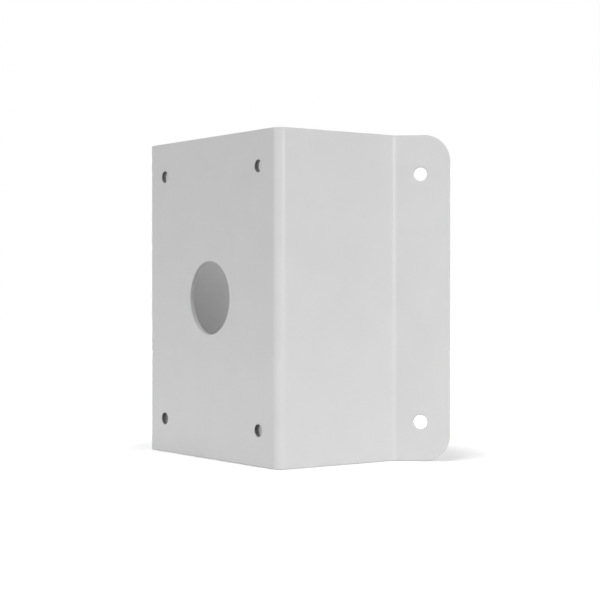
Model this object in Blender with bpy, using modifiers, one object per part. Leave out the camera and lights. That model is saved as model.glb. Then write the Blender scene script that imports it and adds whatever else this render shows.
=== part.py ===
# Bracket that carries a camera on the outside corner of a building.
# It is one steel sheet: cut flat, folded at four bends and powder coated.
# Metres, +Z up. +X runs along the front plate, +Y from the plate back towards the walls.
# The origin lies under the middle of the bracket, on the plane of its lower edge.

import math

import bmesh
import bpy
from mathutils import Matrix, Vector

MM = 0.001

# Sheet
HEIGHT = 180.0 * MM
SHEET_THICKNESS = 3.0 * MM
EDGE_ROUND = 0.5 * MM
ROUND_SHARE_LIMIT = 1 / 3  # a round takes no more of the sheet's thickness than this

# Front plate and side panels, measured on the coated outer faces
FRONT_WIDTH = 135.0 * MM
SIDE_DEPTH = 78.5 * MM
FOLD_ANGLE = math.radians(90.0)
FOLD_INSIDE_RADIUS = 2.0 * MM

# Wings, which lie on the two walls that meet at the building's corner
CORNER_ANGLE = math.radians(90.0)
WING_LENGTH = 30.5 * MM
WING_BEND_RADIUS = 5.0 * MM
WING_CORNER_RADIUS = 14.5 * MM

# Holes in the front plate: one for the cable and four for the camera's base, which are
# tapped after coating and so have a sharper edge
CABLE_HOLE_DIAMETER = 41.0 * MM
CAMERA_HOLE_DIAMETER = 6.65 * MM
CAMERA_HOLE_ROUND = 0.3 * MM
CAMERA_HOLE_SPAN_X = 97.5 * MM
CAMERA_HOLE_SPAN_Z = 141.2 * MM

# Screw holes in the wings, the first size from the line where wing and side panel meet
WALL_HOLE_FROM_BEND = 14.2 * MM
WALL_HOLE_DIAMETER = 7.5 * MM
WALL_HOLE_SPAN_Z = 136.8 * MM

# Facets
FOLD_STEPS = 12
BEND_STEPS = 8
CORNER_STEPS = 14
ROUND_STEPS = 2
SMALL_HOLE_STEPS = 48
CABLE_HOLE_STEPS = 96

ROUND_ARC_PROFILE = 0.5  # bevel profile that makes a round arc
CUT_EDGE_ANGLE = math.radians(60.0)  # an edge turning by more than this is a cut one
MERGE_DISTANCE = 0.001 * MM

# How far a cutter stands out of the sheet on both sides
CUTTER_OVERRUN = 2.0 * MM

# Coat: light grey polyester powder
COAT_COLOUR = (0.68, 0.68, 0.68, 1.0)
COAT_ROUGHNESS = 0.4

UP = Vector((0.0, 0.0, 1.0))
RIGHT_ANGLE = math.radians(90.0)
MIDDLE_Z = HEIGHT / 2
EDGE_FILLET = min(EDGE_ROUND, SHEET_THICKNESS * ROUND_SHARE_LIMIT)
CAMERA_HOLE_FILLET = min(CAMERA_HOLE_ROUND, SHEET_THICKNESS * ROUND_SHARE_LIMIT)


def clear_scene():
    """Remove whatever the file opened with."""
    for leftover in list(bpy.data.objects):
        bpy.data.objects.remove(leftover, do_unlink=True)


def new_collection(name):
    """Add a collection to the scene."""
    collection = bpy.data.collections.new(name)
    bpy.context.scene.collection.children.link(collection)
    return collection


def powder_coat():
    """Material of the coated sheet."""
    material = bpy.data.materials.new("powder_coat")
    material.use_nodes = True
    shader = material.node_tree.nodes["Principled BSDF"]
    shader.inputs["Base Color"].default_value = COAT_COLOUR
    shader.inputs["Roughness"].default_value = COAT_ROUGHNESS
    shader.inputs["Metallic"].default_value = 0.0
    return material


def turned(heading, angle):
    """A heading turned about +Z, positive to the left."""
    return Matrix.Rotation(angle, 3, "Z") @ heading


def fold_sheet():
    """Walk along the visible face of the right half, from the middle of the plate to the wing's end.

    Returns the points of the section and, for each flat, where its corner line is and which way it runs.
    """
    fold_radius = FOLD_INSIDE_RADIUS + SHEET_THICKNESS
    wing_turn = FOLD_ANGLE - (RIGHT_ANGLE - CORNER_ANGLE / 2)
    fold_run = fold_radius * math.tan(FOLD_ANGLE / 2)
    bend_run = WING_BEND_RADIUS * math.tan(wing_turn / 2)
    walk = (
        ("front", FRONT_WIDTH / 2, fold_run, fold_radius, FOLD_ANGLE, FOLD_STEPS),
        ("side", SIDE_DEPTH, bend_run, WING_BEND_RADIUS, -wing_turn, BEND_STEPS),
        ("wing", WING_LENGTH, 0.0, 0.0, 0.0, 0),
    )
    corner, heading = Vector((0.0, 0.0, 0.0)), Vector((1.0, 0.0, 0.0))
    points, flats = [corner.copy()], {}
    for name, length, run_out, radius, turn, steps in walk:
        flats[name] = (corner.copy(), heading.copy())
        corner = corner + heading * length
        tangent = corner - heading * run_out
        points.append(tangent)
        centre = tangent + turned(heading, math.copysign(RIGHT_ANGLE, turn)) * radius
        for step in range(1, steps + 1):
            points.append(centre + turned(tangent - centre, turn * step / steps))
        heading = turned(heading, turn)
    return points, flats


def wall_side(heading):
    """Direction through the sheet, from the visible face to the face towards the building."""
    return UP.cross(heading)


def overall_depth(flats):
    """From the front plate to the rounded edge of the wing that reaches furthest back."""
    corner, heading = flats["wing"]
    into_wall = wall_side(heading)
    tip = corner + heading * WING_LENGTH + into_wall * SHEET_THICKNESS
    return (tip - (heading + into_wall) * EDGE_FILLET).y + EDGE_FILLET


def sheet_half(points, front_y):
    """The visible face of the right half as an open surface, with the wing's outer corners rounded."""
    half = bmesh.new()
    lower = [half.verts.new(point + Vector((0.0, front_y, 0.0))) for point in points]
    edges = [half.edges.new(pair) for pair in zip(lower, lower[1:])]
    raised = bmesh.ops.extrude_edge_only(half, edges=edges)["geom"]
    upper = [item for item in raised if isinstance(item, bmesh.types.BMVert)]
    bmesh.ops.translate(half, verts=upper, vec=UP * HEIGHT)
    tip = max(vert.co.x for vert in half.verts)
    corners = [vert for vert in half.verts if vert.co.x > tip - MERGE_DISTANCE]
    bmesh.ops.bevel(
        half,
        geom=corners,
        affect="VERTICES",
        offset=WING_CORNER_RADIUS,
        segments=CORNER_STEPS,
        profile=ROUND_ARC_PROFILE,
    )
    half.faces.ensure_lookup_table()
    half.normal_update()
    if half.faces[0].normal.y > 0:
        bmesh.ops.reverse_faces(half, faces=half.faces)
    mesh = bpy.data.meshes.new("corner_bracket")
    half.to_mesh(mesh)
    half.free()
    mesh.shade_smooth()
    return mesh


def folded_sheet(collection, points, front_y):
    """Mirror the half, give it the sheet's thickness and round its cut edges."""
    bracket = bpy.data.objects.new("corner_bracket", sheet_half(points, front_y))
    collection.objects.link(bracket)
    bracket.data.materials.append(powder_coat())
    mirror = bracket.modifiers.new("other_half", "MIRROR")
    mirror.merge_threshold = MERGE_DISTANCE
    wall = bracket.modifiers.new("sheet_thickness", "SOLIDIFY")
    wall.thickness = SHEET_THICKNESS
    wall.offset = -1.0
    wall.use_even_offset = True
    edges = bracket.modifiers.new("edge_round", "BEVEL")
    edges.width = EDGE_FILLET
    edges.segments = ROUND_STEPS
    edges.limit_method = "ANGLE"
    edges.angle_limit = CUT_EDGE_ANGLE
    return bracket


def hole_cutter(collection, name, diameter, fillet, steps, mouth_centre, into_wall):
    """Turned cutter whose flared ends leave rounded edges on both faces of the sheet.

    Its own axis is Z, with the visible face at zero and the sheet above it.
    """
    mouth = diameter / 2 + fillet
    arc = [RIGHT_ANGLE * step / ROUND_STEPS for step in range(ROUND_STEPS + 1)]
    flare = [(mouth - fillet * math.sin(a), fillet * (1 - math.cos(a))) for a in arc]
    profile = [(0.0, SHEET_THICKNESS + CUTTER_OVERRUN), (mouth, SHEET_THICKNESS + CUTTER_OVERRUN)]
    profile += [(x, SHEET_THICKNESS - z) for x, z in flare]
    profile += list(reversed(flare))
    profile += [(mouth, -CUTTER_OVERRUN), (0.0, -CUTTER_OVERRUN)]
    outline = bmesh.new()
    verts = [outline.verts.new((x, 0.0, z)) for x, z in profile]
    for pair in zip(verts, verts[1:]):
        outline.edges.new(pair)
    mesh = bpy.data.meshes.new(name)
    outline.to_mesh(mesh)
    outline.free()
    cutter = bpy.data.objects.new(name, mesh)
    collection.objects.link(cutter)
    screw = cutter.modifiers.new("turned", "SCREW")
    screw.axis = "Z"
    screw.steps = screw.render_steps = steps
    screw.use_merge_vertices = True
    screw.merge_threshold = MERGE_DISTANCE
    across = UP.cross(into_wall).normalized()
    facing = Matrix((across, UP, into_wall)).transposed()
    cutter.matrix_world = Matrix.Translation(mouth_centre) @ facing.to_4x4()
    cutter.hide_render = True
    cutter.display_type = "WIRE"
    return cutter


def cut_holes(bracket, cutters, flats, front_y):
    """Place one cutter for each hole and take them all out of the sheet."""
    plate_middle = Vector((0.0, front_y, MIDDLE_Z))
    across_plate = flats["front"][1]
    into_plate = wall_side(across_plate)
    cable = (CABLE_HOLE_DIAMETER, EDGE_FILLET, CABLE_HOLE_STEPS)
    camera = (CAMERA_HOLE_DIAMETER, CAMERA_HOLE_FILLET, SMALL_HOLE_STEPS)
    wall = (WALL_HOLE_DIAMETER, EDGE_FILLET, SMALL_HOLE_STEPS)
    hole_cutter(cutters, "cut_cable_hole", *cable, plate_middle, into_plate)
    wing_corner, along_wing = flats["wing"]
    wing_middle = plate_middle + wing_corner + along_wing * WALL_HOLE_FROM_BEND
    into_wall = wall_side(along_wing)
    for level, up in (("lower", -1), ("upper", 1)):
        for side, out in (("left", -1), ("right", 1)):
            tapped = plate_middle + across_plate * (out * CAMERA_HOLE_SPAN_X / 2)
            tapped += UP * (up * CAMERA_HOLE_SPAN_Z / 2)
            hole_cutter(cutters, f"cut_camera_hole_{level}_{side}", *camera, tapped, into_plate)
            flip = Vector((out, 1, 1))
            screwed = (wing_middle + UP * (up * WALL_HOLE_SPAN_Z / 2)) * flip
            hole_cutter(cutters, f"cut_wall_hole_{level}_{side}", *wall, screwed, into_wall * flip)
    holes = bracket.modifiers.new("holes", "BOOLEAN")
    holes.operation = "DIFFERENCE"
    holes.solver = "EXACT"
    holes.operand_type = "COLLECTION"
    holes.collection = cutters


def build():
    """Fold the sheet, cut its holes and even out its shading."""
    clear_scene()
    parts = new_collection("corner_mount_bracket")
    cutters = new_collection("cutters")
    points, flats = fold_sheet()
    front_y = -overall_depth(flats) / 2
    bracket = folded_sheet(parts, points, front_y)
    cut_holes(bracket, cutters, flats, front_y)
    shading = bracket.modifiers.new("even_shading", "WEIGHTED_NORMAL")
    shading.keep_sharp = True
    bpy.context.view_layer.update()


build()
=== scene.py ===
# Corner bracket for a wall camera: one folded steel sheet, powder coated light grey.
# Metres, +Z up. The sheet is laid out flat as a grid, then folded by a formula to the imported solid's place.
import math

import bmesh
import bpy
import numpy as np
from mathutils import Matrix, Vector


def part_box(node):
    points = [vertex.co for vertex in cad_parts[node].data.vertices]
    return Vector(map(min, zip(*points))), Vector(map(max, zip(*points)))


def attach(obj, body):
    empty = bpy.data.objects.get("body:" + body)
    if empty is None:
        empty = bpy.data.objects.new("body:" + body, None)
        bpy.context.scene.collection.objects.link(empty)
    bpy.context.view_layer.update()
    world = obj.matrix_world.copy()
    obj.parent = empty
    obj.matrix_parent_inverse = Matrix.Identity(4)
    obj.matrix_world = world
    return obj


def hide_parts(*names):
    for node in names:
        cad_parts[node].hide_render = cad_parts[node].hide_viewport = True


mm = 0.001

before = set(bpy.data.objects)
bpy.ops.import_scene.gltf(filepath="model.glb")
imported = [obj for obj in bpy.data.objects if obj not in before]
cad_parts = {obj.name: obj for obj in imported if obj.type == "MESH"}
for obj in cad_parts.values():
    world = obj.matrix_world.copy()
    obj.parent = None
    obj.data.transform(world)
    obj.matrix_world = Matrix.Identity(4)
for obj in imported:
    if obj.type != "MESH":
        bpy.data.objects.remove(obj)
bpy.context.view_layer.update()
bracketLow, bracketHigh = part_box("corner_bracket")
print("frame loaded, bracket", [round(size / mm, 2) for size in bracketHigh - bracketLow], "mm")


# Helpers

def linear(code):
    # sRGB hex to linear: c / 12.92 below 0.04045, else ((c + 0.055) / 1.055) ** 2.4
    shares = [int(code[place:place + 2], 16) / 255 for place in (1, 3, 5)]
    return [c / 12.92 if c <= 0.04045 else ((c + 0.055) / 1.055) ** 2.4 for c in shares] + [1.0]


def addNode(tree, kind, settings=None, links=None):
    # a setting named like an input fills that input, any other is a property of the node
    node = tree.nodes.new(kind)
    for name, value in (settings or {}).items():
        if name in node.inputs:
            node.inputs[name].default_value = value
        else:
            setattr(node, name, value)
    for name, source in (links or {}).items():
        tree.links.new(source, node.inputs[name])
    return node


# The sheet

sheet = dict(
    thickness=3.0 * mm,
    edgeRound=0.5 * mm,              # left on every cut edge by deburring and the coat
    frontWidth=135.0 * mm,
    foldTurn=math.radians(90),
    foldRadius=5.0 * mm,             # on the visible face, outside the fold
    sideDepth=78.5 * mm,
    wingTurn=math.radians(45),
    bendRadius=5.0 * mm,             # on the visible face, in the hollow of the bend
    wingLength=30.5 * mm,
    wingCornerRadius=14.5 * mm,
    height=bracketHigh.z - bracketLow.z,
    frontY=bracketLow.y,
    baseZ=bracketLow.z,
    # squares of the grid between the edges, folds and holes, and steps of an edge's quarter round
    edgeRows=4, gapLines=6, nearFoldLines=3, foldSteps=16,
    sideSteps=8, bendSteps=10, tipSteps=12, roundSteps=4,
    weldDistance=0.001 * mm,         # closes the seams between the grids
    sharpAngle=math.radians(35),     # an edge that turns by more is shaded crisp
)

# across and up are from the middle of the plate, both ways; margin is the sheet left between a hole's
# round and the square of the grid that holds it; lines go through that square, rings go round the hole
holes = dict(
    cable=dict(radius=20.5 * mm, round=0.5 * mm, across=0.0, up=0.0, margin=7.0 * mm, lines=32, rings=8),
    camera=dict(radius=3.325 * mm, round=0.3 * mm, across=48.75 * mm, up=70.6 * mm, margin=1.8 * mm,
                lines=16, rings=5),
    wall=dict(radius=3.75 * mm, round=0.5 * mm, fromBend=14.2 * mm, up=68.4 * mm, margin=1.8 * mm,
              lines=16, rings=5),
)

thread = dict(
    pitch=1.25 * mm,
    majorRadius=4.0 * mm,            # M8, whose crests are the hole's own radius
    flank=math.radians(30),          # how far a flank leans from square to the hole's axis
    depthShare=5 / 8,                # of the height that the ridges would have if they were sharp
    crestFlat=1 / 4,                 # of the pitch
    steps=48,                        # through the sheet
)


def layOut():
    # arc lengths along the visible face where flats and bends meet, the heading there and the places:
    # a stretch that turns evenly by d has its chord, length * sin(d / 2) / (d / 2), along the mean heading
    foldRun = sheet["foldRadius"] * math.tan(sheet["foldTurn"] / 2)
    bendRun = sheet["bendRadius"] * math.tan(sheet["wingTurn"] / 2)
    lengths = np.array([
        sheet["frontWidth"] / 2 - foldRun,
        sheet["foldRadius"] * sheet["foldTurn"],
        sheet["sideDepth"] - foldRun - bendRun,
        sheet["bendRadius"] * sheet["wingTurn"],
        sheet["wingLength"] - bendRun,
    ])
    turns = np.array([0, sheet["foldTurn"], 0, -sheet["wingTurn"], 0])
    stops = np.concatenate([[0], np.cumsum(lengths)])
    headings = np.concatenate([[0], np.cumsum(turns)])
    mean = headings[:-1] + turns / 2
    chords = lengths * np.sinc(turns / (2 * math.pi))
    steps = chords[:, None] * np.stack([np.cos(mean), np.sin(mean)], -1)
    places = np.concatenate([np.zeros((1, 2)), np.cumsum(steps, axis=0)]) + [0, sheet["frontY"]]
    holes["wall"]["across"] = stops[4] + holes["wall"]["fromBend"] - bendRun
    return stops, headings, places


stops, headings, places = layOut()
middle = sheet["height"] / 2
for hole in holes.values():
    hole["mouth"] = hole["radius"] + hole["round"]
    hole["cell"] = hole["mouth"] + hole["margin"]


def folded(s, v, w):
    # s runs along the visible face, v up it and w into the sheet. A point's place: that of the stop before
    # it, plus its chord from there, plus w along the face's inward normal (-sin h, cos h)
    along = np.abs(s)
    k = np.clip(np.searchsorted(stops, along, side="right") - 1, 0, len(stops) - 2)
    turn = (headings[k + 1] - headings[k]) * (along - stops[k]) / (stops[k + 1] - stops[k])
    chord = (along - stops[k]) * np.sinc(turn / (2 * math.pi))
    mean, heading = headings[k] + turn / 2, headings[k] + turn
    x = places[k, 0] + chord * np.cos(mean) - w * np.sin(heading)
    y = places[k, 1] + chord * np.sin(mean) + w * np.cos(heading)
    return np.stack([np.where(s < 0, -x, x), y, v + sheet["baseZ"]], -1)


def run(start, end, count):
    # evenly spaced lines; the last is left to the next run
    return np.linspace(start, end, count, endpoint=False)


cellCorner = 45     # degrees from the middle of a square's side to its corner, seen from the hole


def cellRun(hole, centre, first=-cellCorner, last=cellCorner):
    # centre + cell * tan(a): lines through a hole's square that meet the round hole at even angles
    count = hole["lines"] * (last - first) // (2 * cellCorner)
    return centre + hole["cell"] * np.tan(np.radians(run(first, last, count)))


def columns():
    # lines up the blank, from the left wing's tip to the right one's; across the rounded corner they lie
    # at even angles of its arc
    cable, camera, wall = holes["cable"], holes["camera"], holes["wall"]
    arcRadius = sheet["wingCornerRadius"] - sheet["edgeRound"]
    arcCentre = stops[-1] - sheet["wingCornerRadius"]
    firstAngle = math.asin((wall["across"] + wall["cell"] - arcCentre) / arcRadius)
    right = np.concatenate([
        cellRun(cable, 0, first=0),
        run(cable["cell"], camera["across"] - camera["cell"], sheet["gapLines"]),
        cellRun(camera, camera["across"]),
        run(camera["across"] + camera["cell"], stops[1], sheet["nearFoldLines"]),
        run(stops[1], stops[2], sheet["foldSteps"]),
        run(stops[2], stops[3], sheet["sideSteps"]),
        run(stops[3], stops[4], sheet["bendSteps"]),
        run(stops[4], wall["across"] - wall["cell"], sheet["nearFoldLines"]),
        cellRun(wall, wall["across"]),
        arcCentre + arcRadius * np.sin(np.linspace(firstAngle, math.pi / 2, sheet["tipSteps"] + 1)),
    ])
    return np.concatenate([-right[:0:-1], right])


def rows(hole):
    # lines across the blank, from its lower edge through the lower hole and half of the cable hole to the
    # middle, and the same mirrored above it
    cable = holes["cable"]
    lower = np.concatenate([
        run(sheet["edgeRound"], middle - hole["up"] - hole["cell"], sheet["edgeRows"]),
        cellRun(hole, middle - hole["up"]),
        run(middle - hole["up"] + hole["cell"], middle - cable["cell"], sheet["gapLines"]),
        cellRun(cable, middle, last=0),
    ])
    return np.concatenate([lower, [middle], sheet["height"] - lower[::-1]])


def flatFace():
    # v = the plate's rows, sliding evenly into the wing's across the side panel, plus the rise of the
    # rounded corner, r - sqrt(r * r - x * x), which fades out over the rows next to the edge
    s = columns()[:, None]
    across = np.clip((np.abs(s) - stops[2]) / (stops[3] - stops[2]), 0, 1)
    plateRows, wingRows = rows(holes["camera"]), rows(holes["wall"])
    radius = sheet["wingCornerRadius"] - sheet["edgeRound"]
    beyond = np.clip(np.abs(s) - (stops[-1] - sheet["wingCornerRadius"]), 0, radius)
    rise = radius - np.sqrt(radius ** 2 - beyond ** 2)
    fade = np.clip(1 - np.arange(len(plateRows)) / sheet["edgeRows"], 0, 1)
    v = plateRows * (1 - across) + wingRows * across + rise * (fade - fade[::-1])
    return np.broadcast_to(s, v.shape), v


def around(values, i0, i1, j0, j1):
    # the closed line of grid points round a block of the grid, its first point repeated at the end
    return np.concatenate([values[i0:i1, j0], values[i1, j0:j1], values[i1:i0:-1, j1],
                           values[i0, j1:j0:-1], values[i0:i0 + 1, j0]])


def edgeProfile(radius):
    # quarter round, straight wall, quarter round: how far out of the face's edge and how deep
    turn = np.linspace(0, math.pi / 2, sheet["roundSteps"] + 1)
    out, deep = radius * np.sin(turn), radius * (1 - np.cos(turn))
    return np.concatenate([out, out[::-1]]), np.concatenate([deep, sheet["thickness"] - deep[::-1]])


def threadWall(hole, angle, deep):
    # radius of a tapped hole's wall: ridges with sloping flanks that climb one pitch a turn, cut off at the
    # drill's and the thread's own radius, and running out under the round of the mouth
    phase = deep / thread["pitch"] - angle / (2 * math.pi)
    fromCrest = np.abs(phase - np.round(phase)) * thread["pitch"]
    flankSlope = math.tan(thread["flank"])
    fullDepth = thread["depthShare"] * thread["pitch"] / 2 / flankSlope
    crestEnd = thread["crestFlat"] * thread["pitch"] / 2
    ridge = thread["majorRadius"] - fullDepth + (fromCrest - crestEnd) / flankSlope
    toFace = np.minimum(deep, sheet["thickness"] - deep)
    deepest = hole["radius"] + np.clip(toFace - hole["round"], 0, thread["majorRadius"] - hole["radius"])
    sunk = np.clip(hole["round"] - toFace, 0, None)
    mouth = hole["mouth"] - np.sqrt(hole["round"] ** 2 - sunk ** 2)
    return np.maximum(np.minimum(ridge, deepest), mouth)


patches = []


def addPatch(s, v, w, cutEdge=0.0, keep=True, material=0):
    # one grid of points on the blank; keep says which of its squares are sheet
    shape = np.broadcast_shapes(np.shape(s), np.shape(v), np.shape(w))
    s, v, w, cutEdge = (np.broadcast_to(values, shape) for values in (s, v, w, cutEdge))
    squares = (shape[0] - 1, shape[1] - 1)
    keep = np.broadcast_to(keep, squares)
    patches.append(dict(points=folded(s, v, w).reshape(-1, 3), shape=shape, keep=keep,
                        cutEdge=cutEdge.ravel(), material=np.broadcast_to(material, squares)[keep]))


def addHole(name, across, up, s, v, solid):
    # clears the hole's square in the face's grid and fills it with a ring, a straight blend from the
    # square to the mouth, on both faces, and with the wall between them
    hole = holes[name]
    i0, i1 = (np.abs(s[:, 0] - across - way * hole["cell"]).argmin() for way in (-1, 1))
    j0, j1 = (np.abs(v[i0] - up - way * hole["cell"]).argmin() for way in (-1, 1))
    solid[i0:i1, j0:j1] = False
    squareS, squareV = (around(values, i0, i1, j0, j1)[:, None] for values in (s, v))
    reach = np.hypot(squareS - across, squareV - up)
    wayS, wayV = (squareS - across) / reach, (squareV - up) / reach
    share = np.linspace(0, 1, hole["rings"] + 1)
    spread = reach * (1 - share) + hole["mouth"] * share
    for w in (0.0, sheet["thickness"]):
        addPatch(across + wayS * spread, up + wayV * spread, w)
    if name == "camera":
        # the tap leaves the wall bare from half way down the mouth's round
        deep = np.linspace(0, sheet["thickness"], thread["steps"] + 1)
        wall = threadWall(hole, np.arctan2(wayV, wayS), deep)
        between = (deep[1:] + deep[:-1]) / 2
        bare = np.minimum(between, sheet["thickness"] - between) > hole["round"] / 2
        addPatch(across + wayS * wall, up + wayV * wall, deep, cutEdge=1.0, material=bare.astype(int))
    else:
        out, deep = edgeProfile(hole["round"])
        wall = hole["mouth"] - out
        addPatch(across + wayS * wall, up + wayV * wall, deep, cutEdge=out / hole["round"])


def addRim(s, v):
    # the edge's profile carried round the blank, a rectangle with round corners; the way out of it is
    # from the nearest point of its core, the rectangle that the corners' centres span
    out, deep = edgeProfile(sheet["edgeRound"])
    s, v = (around(values, 0, values.shape[0] - 1, 0, values.shape[1] - 1)[:, None] for values in (s, v))
    radius = sheet["wingCornerRadius"]
    wayS = (s - np.clip(s, radius - stops[-1], stops[-1] - radius)) / (radius - sheet["edgeRound"])
    wayV = (v - np.clip(v, radius, sheet["height"] - radius)) / (radius - sheet["edgeRound"])
    addPatch(s + wayS * out, v + wayV * out, deep, cutEdge=out / sheet["edgeRound"])


def makeSheet():
    # both faces less the squares of the holes, the holes themselves, and the rim
    s, v = flatFace()
    solid = np.ones((s.shape[0] - 1, s.shape[1] - 1), bool)
    for name, hole in holes.items():
        centres = {(side * hole["across"], middle + way * hole["up"]) for side in (-1, 1) for way in (-1, 1)}
        for across, up in sorted(centres):
            addHole(name, across, up, s, v, solid)
    for w in (0.0, sheet["thickness"]):
        addPatch(s, v, w, keep=solid)
    addRim(s, v)


def meshFromPatches(name):
    # number the kept squares of all grids in one list, drop unused points, then weld the seams
    faces, start = [], 0
    for patch in patches:
        index = np.arange(start, start + len(patch["points"])).reshape(patch["shape"])
        corners = np.stack([index[:-1, :-1], index[1:, :-1], index[1:, 1:], index[:-1, 1:]], -1)
        faces.append(corners[patch["keep"]])
        start += len(patch["points"])
    used, faces = np.unique(np.concatenate(faces), return_inverse=True)
    points = np.concatenate([patch["points"] for patch in patches])[used]
    mesh = bpy.data.meshes.new(name)
    mesh.from_pydata(points.tolist(), [], faces.reshape(-1, 4).tolist())
    cutEdge = np.concatenate([patch["cutEdge"] for patch in patches])[used].astype(np.float32)
    mesh.attributes.new("cutEdge", "FLOAT", "POINT").data.foreach_set("value", cutEdge)
    mesh.polygons.foreach_set("material_index", np.concatenate([patch["material"] for patch in patches]))
    welded = bmesh.new()
    welded.from_mesh(mesh)
    bmesh.ops.remove_doubles(welded, verts=welded.verts, dist=sheet["weldDistance"])
    bmesh.ops.recalc_face_normals(welded, faces=welded.faces)
    welded.to_mesh(mesh)
    welded.free()
    return mesh


makeSheet()
bracket = bpy.data.objects.new("foldedSheet", meshFromPatches("foldedSheet"))
bpy.context.scene.collection.objects.link(bracket)
bracket.data.shade_smooth()
bracket.data.set_sharp_from_angle(angle=sheet["sharpAngle"])
evenNormals = bracket.modifiers.new("evenNormals", "WEIGHTED_NORMAL")
evenNormals.keep_sharp = True
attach(bracket, "root")
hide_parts("corner_bracket")
print("sheet folded,", len(bracket.data.polygons), "faces")


# Finishes

coat = dict(
    colour="#d8d8d8",
    shadeColour="#d2d2d2",           # where the film is a little thinner
    edgeFilmAndShadeColour="#c8c8c8",            # and where it ran off the cut edges; darker too as painted shade on the walls of the holes
    ior=1.5,
    roughness=0.36,
    roughnessSpread=0.05,
    cloudSize=18.0 * mm,
    cloudDetail=3.0,
    peelSpacing=2.4 * mm,            # from one wave of the skin to the next
    peelHeight=0.012 * mm,
    peelDetail=1.0,
    grainSize=0.35 * mm,             # grains are near 0.05 mm, too fine to show: drawn seven times coarser
    grainHeight=0.0008 * mm,
    grainDetail=1.0,
)

steel = dict(
    colour="#7e7e7e",
    scoreColour="#585858",
    metallic=1.0,
    roughness=0.45,
    scoreSpacing=0.25 * mm,          # the tap's marks are near 0.05 mm, drawn five times coarser
    scoreHeight=0.01 * mm,
    scoreWaver=1.0,
    scoreDetail=2.0,
)


def powderCoat():
    # Polyester powder coat, sprayed dry and melted on: satin, closed and very slightly wavy, like the
    # skin of an orange, with a fine grain in it and a thinner, duller film along the cut edges, whose
    # darker colour is also painted shade on the walls of the holes.
    material = bpy.data.materials.new("powderCoatedSteel")
    material.use_nodes = True
    tree = material.node_tree
    shader = tree.nodes["Principled BSDF"]
    shader.inputs["IOR"].default_value = coat["ior"]
    place = addNode(tree, "ShaderNodeTexCoord").outputs["Object"]
    clouds = addNode(tree, "ShaderNodeTexNoise",
                     {"Scale": 1 / coat["cloudSize"], "Detail": coat["cloudDetail"]}, {"Vector": place})
    film = addNode(tree, "ShaderNodeMixRGB",
                   {"Color1": linear(coat["shadeColour"]), "Color2": linear(coat["colour"])},
                   {"Fac": clouds.outputs["Fac"]})
    # painted shade: the cut edges' darker colour also stands for the shade on the holes' walls
    edge = addNode(tree, "ShaderNodeAttribute", {"attribute_name": "cutEdge"})
    tone = addNode(tree, "ShaderNodeMixRGB", {"Color2": linear(coat["edgeFilmAndShadeColour"])},
                   {"Fac": edge.outputs["Fac"], "Color1": film.outputs["Color"]})
    tree.links.new(tone.outputs["Color"], shader.inputs["Base Color"])
    gloss = addNode(tree, "ShaderNodeMapRange",
                    {"To Min": coat["roughness"] - coat["roughnessSpread"],
                     "To Max": coat["roughness"] + coat["roughnessSpread"]},
                    {"Value": clouds.outputs["Fac"]})
    tree.links.new(gloss.outputs["Result"], shader.inputs["Roughness"])
    peel = addNode(tree, "ShaderNodeTexNoise",
                   {"Scale": 1 / coat["peelSpacing"], "Detail": coat["peelDetail"]}, {"Vector": place})
    waves = addNode(tree, "ShaderNodeBump", {"Distance": coat["peelHeight"]},
                    {"Height": peel.outputs["Fac"]})
    grain = addNode(tree, "ShaderNodeTexNoise",
                    {"Scale": 1 / coat["grainSize"], "Detail": coat["grainDetail"]}, {"Vector": place})
    grains = addNode(tree, "ShaderNodeBump", {"Distance": coat["grainHeight"]},
                     {"Height": grain.outputs["Fac"], "Normal": waves.outputs["Normal"]})
    tree.links.new(grains.outputs["Normal"], shader.inputs["Normal"])
    return material


def tappedSteel():
    # Bare steel of the threads, cut after coating: dull grey from the cutting oil left in them, with
    # the tap's fine marks running round the hole.
    material = bpy.data.materials.new("oiledBareSteel")
    material.use_nodes = True
    tree = material.node_tree
    shader = tree.nodes["Principled BSDF"]
    shader.inputs["Metallic"].default_value = steel["metallic"]
    shader.inputs["Roughness"].default_value = steel["roughness"]
    place = addNode(tree, "ShaderNodeTexCoord").outputs["Object"]
    bandSpacing = math.pi / 10     # of a wave texture whose scale is 1
    marks = addNode(tree, "ShaderNodeTexWave",
                    {"bands_direction": "Y", "Scale": bandSpacing / steel["scoreSpacing"],
                     "Distortion": steel["scoreWaver"], "Detail": steel["scoreDetail"]}, {"Vector": place})
    tone = addNode(tree, "ShaderNodeMixRGB",
                   {"Color1": linear(steel["scoreColour"]), "Color2": linear(steel["colour"])},
                   {"Fac": marks.outputs["Fac"]})
    tree.links.new(tone.outputs["Color"], shader.inputs["Base Color"])
    scores = addNode(tree, "ShaderNodeBump", {"Distance": steel["scoreHeight"]},
                     {"Height": marks.outputs["Fac"]})
    tree.links.new(scores.outputs["Normal"], shader.inputs["Normal"])
    return material


bracket.data.materials.append(powderCoat())
bracket.data.materials.append(tappedSteel())
print("finishes made")


# Floor, background and light

stage = dict(
    floorSize=8.0,
    floorDrop=0.1 * mm,
    # what the lens sees of it is its shadow on plain white, and from whiteTo outwards nothing but white
    shownColour="#ffffff", shownGlow=0.2, whiteFrom=0.08, whiteTo=0.2,
    # what lights the bracket is a pale floor near it, which grows dark further out
    bounceColour="#f2f2f2", darkColour="#303030", bounceFrom=0.35, bounceTo=0.9,
)
studio = dict(
    worldColour="#ffffff",
    ambient=0.11,                    # strength with which the world lights the bracket
    shownStrength=1.0,               # and with which the lens sees it
    lampDistance=1.6,
)
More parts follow.
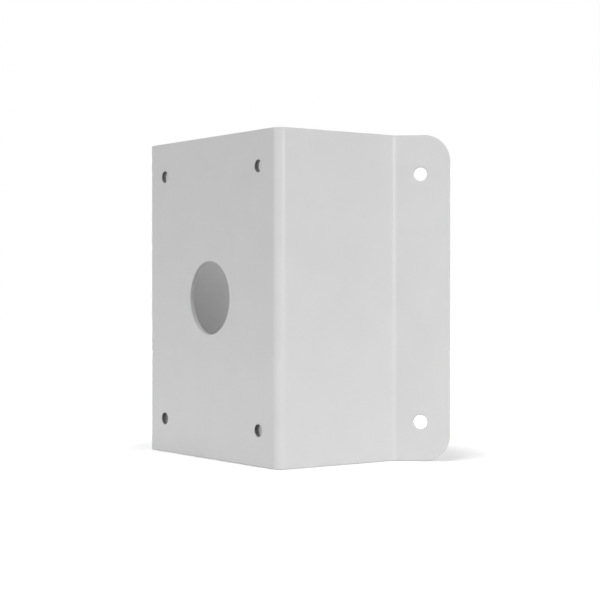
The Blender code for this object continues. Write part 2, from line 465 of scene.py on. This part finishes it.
# the two boxes that stand low in front draw the bright lines along the folds, and the two behind light
# the inside
lamps = dict(
    highBox=dict(azimuth=20, elevation=60, size=0.9, share=0.48),
    rightBox=dict(azimuth=94, elevation=30, size=0.9, share=0.35),
    leftBox=dict(azimuth=-15, elevation=5, size=0.9, share=0.19),
    lowRightBox=dict(azimuth=96, elevation=3, size=0.6, share=0.245),
    lowLeftBox=dict(azimuth=15, elevation=3, size=0.5, share=0.06),
    backBox=dict(azimuth=225, elevation=4, size=0.9, share=0.24),
    backLeftBox=dict(azimuth=252, elevation=4, size=0.9, share=0.35),
)
# turn and tilt are in degrees, from looking level along +Y, to the left and up
camera = dict(place=(0.7231, -0.50587, 0.09267), turn=54.421, tilt=-0.253, lens=91.49, sensor=36.0,
              nearest=0.01, farthest=50.0)


def shownRays(tree):
    # 1 for rays that show the background itself: straight to the lens, by reflection or through glass
    rays = addNode(tree, "ShaderNodeLightPath")
    both = addNode(tree, "ShaderNodeMath", {"operation": "MAXIMUM"})
    tree.links.new(rays.outputs["Is Camera Ray"], both.inputs[0])
    tree.links.new(rays.outputs["Is Glossy Ray"], both.inputs[1])
    every = addNode(tree, "ShaderNodeMath", {"operation": "MAXIMUM"})
    tree.links.new(both.outputs["Value"], every.inputs[0])
    tree.links.new(rays.outputs["Is Transmission Ray"], every.inputs[1])
    return every.outputs["Value"]


def makeFloor():
    half = stage["floorSize"] / 2
    low = sheet["baseZ"] - stage["floorDrop"]
    mesh = bpy.data.meshes.new("floor")
    mesh.from_pydata([(-half, -half, low), (half, -half, low), (half, half, low), (-half, half, low)],
                     [], [(0, 1, 2, 3)])
    floor = bpy.data.objects.new("floor", mesh)
    bpy.context.scene.collection.objects.link(floor)
    material = bpy.data.materials.new("mattWhiteFloor")
    material.use_nodes = True
    tree = material.node_tree
    tree.nodes.clear()
    place = addNode(tree, "ShaderNodeTexCoord").outputs["Object"]
    distance = addNode(tree, "ShaderNodeVectorMath", {"operation": "LENGTH"}, {"Vector": place})
    away = distance.outputs["Value"]
    shown = shownRays(tree)
    dim = addNode(tree, "ShaderNodeMapRange",
                  {"interpolation_type": "SMOOTHSTEP", "From Min": stage["bounceFrom"],
                   "From Max": stage["bounceTo"]}, {"Value": away})
    bounce = addNode(tree, "ShaderNodeMixRGB",
                     {"Color1": linear(stage["bounceColour"]), "Color2": linear(stage["darkColour"])},
                     {"Fac": dim.outputs["Result"]})
    colour = addNode(tree, "ShaderNodeMixRGB", {"Color2": linear(stage["shownColour"])},
                     {"Fac": shown, "Color1": bounce.outputs["Color"]})
    matt = addNode(tree, "ShaderNodeBsdfDiffuse", links={"Color": colour.outputs["Color"]})
    fade = addNode(tree, "ShaderNodeMapRange",
                   {"interpolation_type": "SMOOTHSTEP", "From Min": stage["whiteFrom"],
                    "From Max": stage["whiteTo"], "To Min": stage["shownGlow"]}, {"Value": away})
    strength = addNode(tree, "ShaderNodeMath", {"operation": "MULTIPLY"})
    tree.links.new(fade.outputs["Result"], strength.inputs[0])
    tree.links.new(shown, strength.inputs[1])
    glow = addNode(tree, "ShaderNodeEmission", links={"Strength": strength.outputs["Value"]})
    both = addNode(tree, "ShaderNodeAddShader")
    tree.links.new(matt.outputs["BSDF"], both.inputs[0])
    tree.links.new(glow.outputs["Emission"], both.inputs[1])
    addNode(tree, "ShaderNodeOutputMaterial", links={"Surface": both.outputs["Shader"]})
    floor.data.materials.append(material)


def makeWorld():
    world = bpy.data.worlds.new("studio")
    world.use_nodes = True
    tree = world.node_tree
    strength = addNode(tree, "ShaderNodeMapRange",
                       {"To Min": studio["ambient"], "To Max": studio["shownStrength"]},
                       {"Value": shownRays(tree)})
    background = tree.nodes["Background"]
    background.inputs["Color"].default_value = linear(studio["worldColour"])
    tree.links.new(strength.outputs["Result"], background.inputs["Strength"])
    bpy.context.scene.world = world


def makeLamps():
    # power in watts that gives the named share of a full white light at the bracket: share * (pi * d)^2
    centre = (bracketLow + bracketHigh) / 2
    distance = studio["lampDistance"]
    for name, lamp in lamps.items():
        data = bpy.data.lights.new(name, "AREA")
        data.size = lamp["size"]
        data.energy = lamp["share"] * (math.pi * distance) ** 2
        box = bpy.data.objects.new(name, data)
        azimuth, elevation = math.radians(lamp["azimuth"]), math.radians(lamp["elevation"])
        way = np.array([math.sin(azimuth) * math.cos(elevation), -math.cos(azimuth) * math.cos(elevation),
                        math.sin(elevation)])
        box.location = np.array(centre) + way * distance
        box.rotation_euler = (math.pi / 2 - elevation, 0, azimuth)
        box.visible_camera = False
        bpy.context.scene.collection.objects.link(box)


def makeCamera():
    data = bpy.data.cameras.new("camera")
    data.lens, data.sensor_width = camera["lens"], camera["sensor"]
    data.clip_start, data.clip_end = camera["nearest"], camera["farthest"]
    eye = bpy.data.objects.new("camera", data)
    eye.location = camera["place"]
    eye.rotation_euler = (math.radians(90 + camera["tilt"]), 0, math.radians(camera["turn"]))
    bpy.context.scene.collection.objects.link(eye)
    bpy.context.scene.camera = eye


makeFloor()
makeWorld()
makeLamps()
makeCamera()
bpy.context.scene.view_settings.view_transform = "Standard"
print("floor, light and camera set")

bpy.context.view_layer.update()
